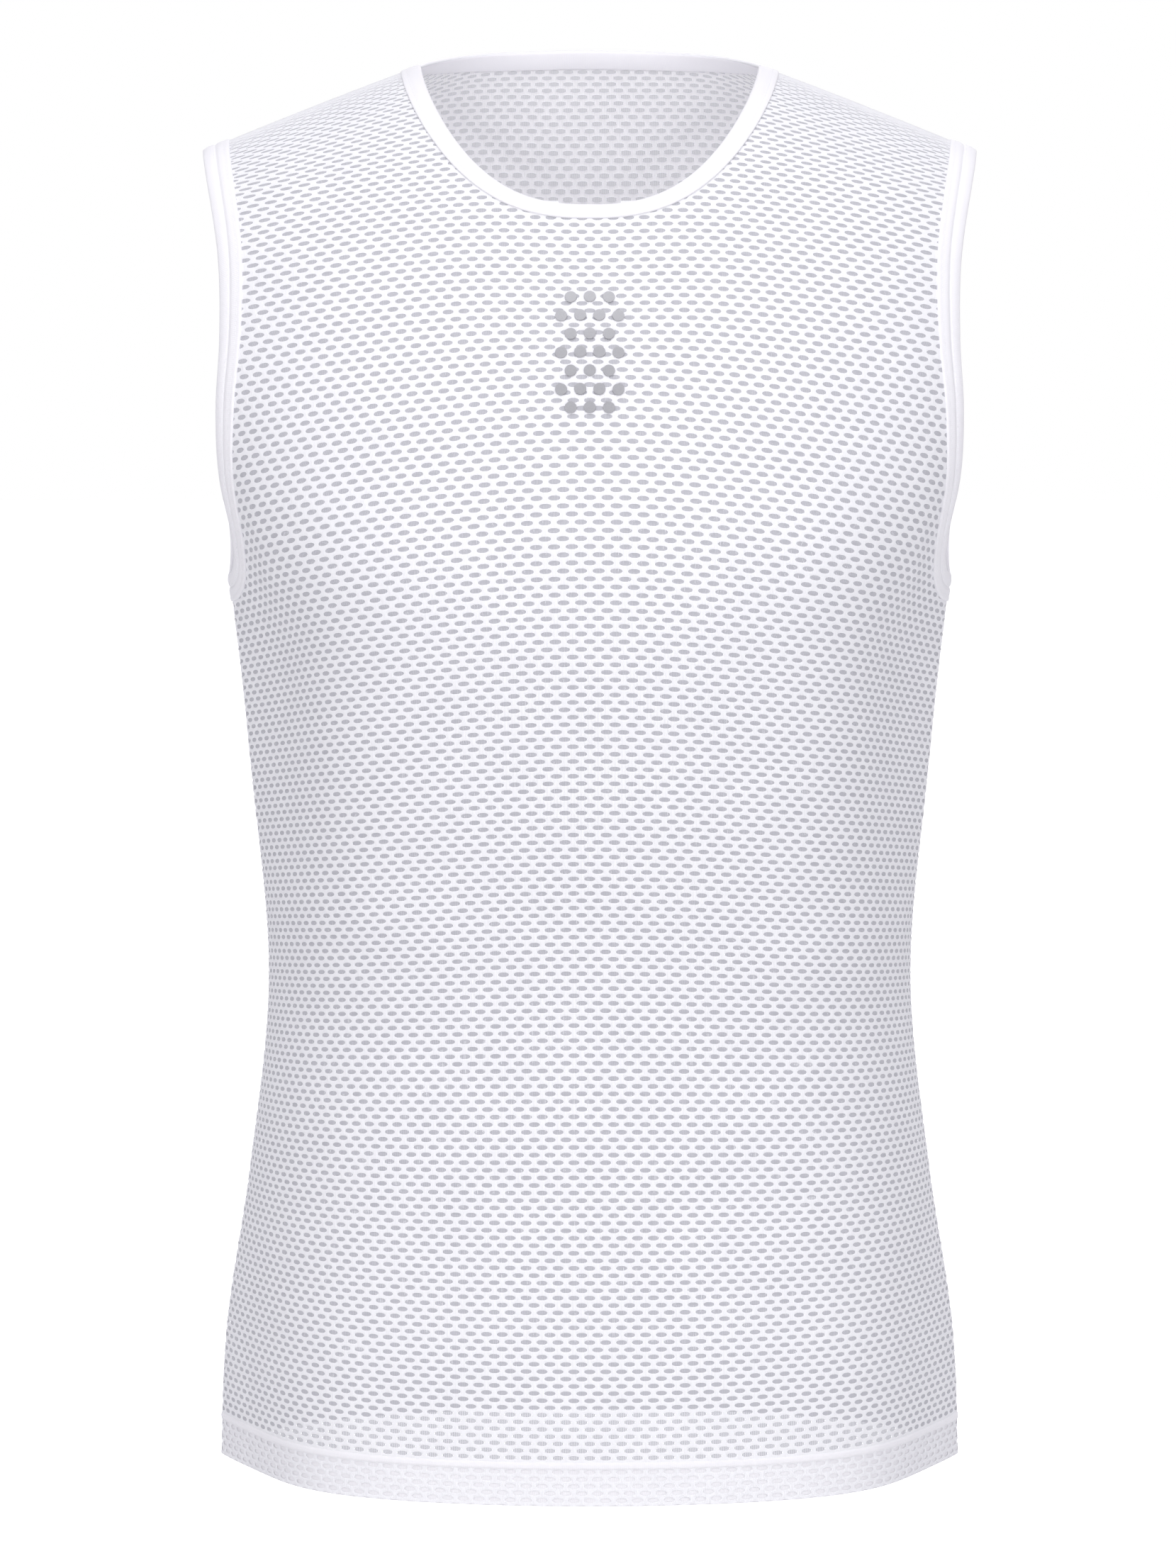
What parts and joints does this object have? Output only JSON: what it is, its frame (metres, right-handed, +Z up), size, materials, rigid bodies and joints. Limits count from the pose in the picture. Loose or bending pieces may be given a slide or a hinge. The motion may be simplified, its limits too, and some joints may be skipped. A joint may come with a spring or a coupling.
{
  "type": "cycling base layer vest",
  "caption": "Sleeveless close-fitting base layer in even open-net knit, with a bound round neck, bound armholes and a turned-up hem, standing hollow as when worn.",
  "frame": {"origin": "middle of the shoulder line, midway between the two neck points, where the wearer's shoulders hold the vest", "axes": "+Z up, -Y the way the front faces, +X towards the wearer's left"},
  "size_m": [0.362, 0.2422, 0.6682],
  "materials": {
    "net_knit": "white polyester open-net knit with lens-shaped eyelets in staggered rows, matt with a slight sheen on the eyelet rims",
    "plain_knit": "white plain knit binding, folded and stitched, matt"
  },
  "bodies": {
    "root": {"front": "net_knit", "back": "net_knit", "neck_binding": "plain_knit", "armhole_binding_left": "plain_knit", "armhole_binding_right": "plain_knit"}
  },
  "joints": []
}
